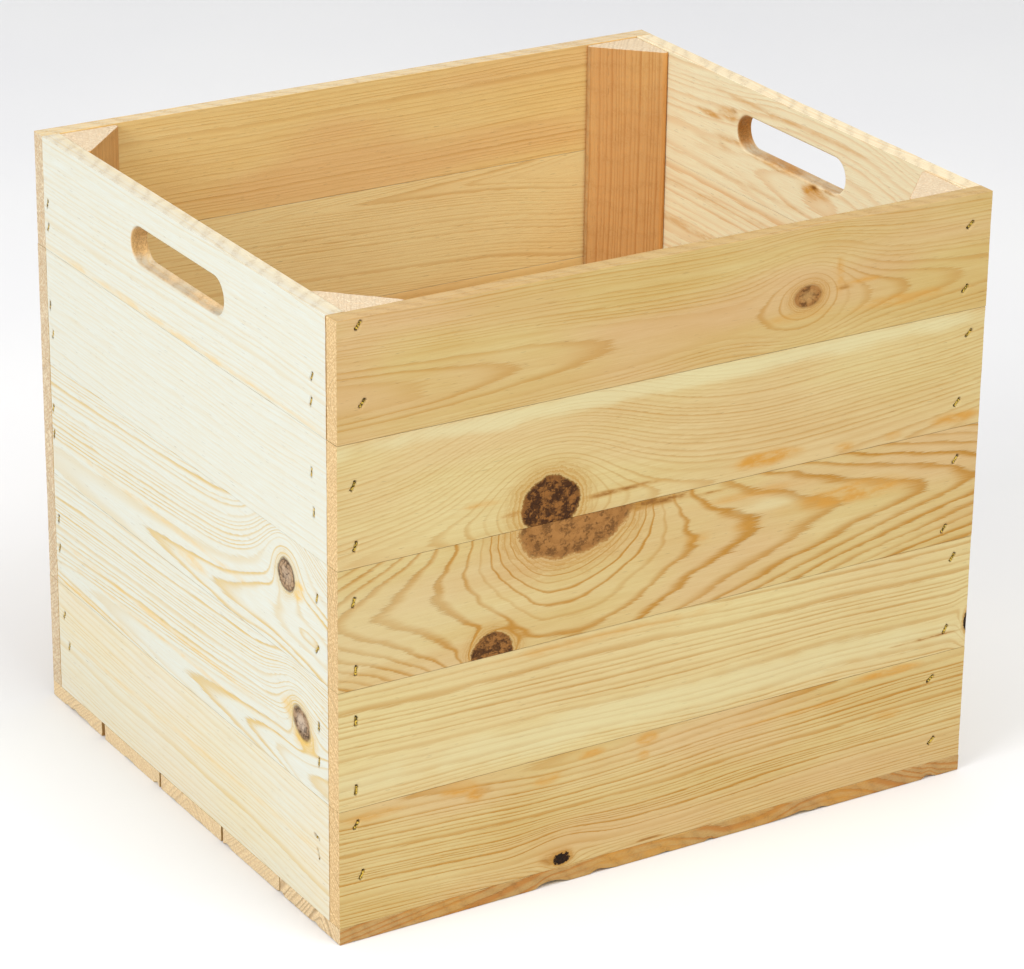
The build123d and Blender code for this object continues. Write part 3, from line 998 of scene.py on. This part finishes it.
for side in SIDES:
    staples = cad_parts[side.name + "_staples"]
    staples.data.materials.clear()
    staples.data.materials.append(wire)
    soften = staples.modifiers.new("drawn_wire", "BEVEL")
    soften.width = WIRE_BEVEL * MM
    soften.segments = 2
    soften.limit_method = "ANGLE"


# ---------------------------------------------------------------- camera, light and floor

def soft_light(name, place, aim, size, power, colour):
    """A square area light that looks at a point."""
    lamp = bpy.data.lights.new(name, "AREA")
    lamp.shape = "SQUARE"
    lamp.size = size
    lamp.energy = power
    lamp.color = colour
    light = bpy.data.objects.new(name, lamp)
    light.location = place
    light.rotation_euler = (Vector(aim) - Vector(place)).to_track_quat("-Z", "Y").to_euler()
    bpy.context.scene.collection.objects.link(light)


def sweep_backdrop(half_width, front, rear, height, bend):
    """A floor that turns up into a wall behind the crate in one curve."""
    line = [(front, 0.0), (rear - bend, 0.0)]
    for angle in np.linspace(0, math.pi / 2, 17)[1:]:
        line.append((rear - bend + bend * math.sin(angle), bend - bend * math.cos(angle)))
    line.append((rear, height))
    points = [(x, y, z) for y, z in line for x in (-half_width, half_width)]
    faces = [(2 * n, 2 * n + 1, 2 * n + 3, 2 * n + 2) for n in range(len(line) - 1)]
    mesh = bpy.data.meshes.new("studio_floor")
    mesh.from_pydata(points, [], faces)
    mesh.shade_smooth()
    floor = bpy.data.objects.new("studio_floor", mesh)
    bpy.context.scene.collection.objects.link(floor)
    return floor


def studio_paint():
    """Pale matt paint, a little cloudy."""
    s = Shader("studio_paint")
    clouds = s.noise(s.node("TexCoord", {}).outputs["Object"], 3.0)
    colour = s.mix(s.ramp(clouds, 0.3, 0.7), (0.80, 0.80, 0.81, 1.0), (0.82, 0.82, 0.82, 1.0))
    s.put(s.surface.inputs["Base Color"], colour)
    s.surface.inputs["Roughness"].default_value = 0.9
    return s.material


camera = bpy.data.objects.new("camera", bpy.data.cameras.new("camera"))
camera.data.lens = CAMERA_LENS
camera.location = CAMERA_PLACE
camera.rotation_mode = "QUATERNION"
level_view = Vector(CAMERA_AIM).to_track_quat("-Z", "Y")
camera.rotation_quaternion = level_view @ Quaternion((0, 0, 1), CAMERA_ROLL)
camera.data.clip_start = 0.05
camera.data.clip_end = 50.0
bpy.context.scene.collection.objects.link(camera)
bpy.context.scene.camera = camera
bpy.context.scene.view_settings.view_transform = "Standard"

floor = sweep_backdrop(half_width=6.0, front=-6.0, rear=3.0, height=4.0, bend=1.5)
floor.data.materials.append(studio_paint())
floor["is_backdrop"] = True

soft_light("key", (-2.4, -0.5, 1.7), (0, 0, 0.15), size=1.6, power=50, colour=(1.0, 1.0, 1.0))
soft_light("front", (0.4, -1.8, 2.7), (0, 0, 0.15), size=1.4, power=28, colour=(1.0, 0.98, 0.95))
soft_light("top", (0.2, -0.5, 2.9), (0, 0, 0), size=1.8, power=28, colour=(1.0, 0.99, 0.97))

world = bpy.data.worlds.new("studio")
world.use_nodes = True
sky = world.node_tree.nodes["Background"]
sky.inputs["Color"].default_value = (0.97, 0.98, 1.0, 1.0)
sky.inputs["Strength"].default_value = 0.56
bpy.context.scene.world = world

boxes = {"cad": cad_bounds, "visual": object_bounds()}
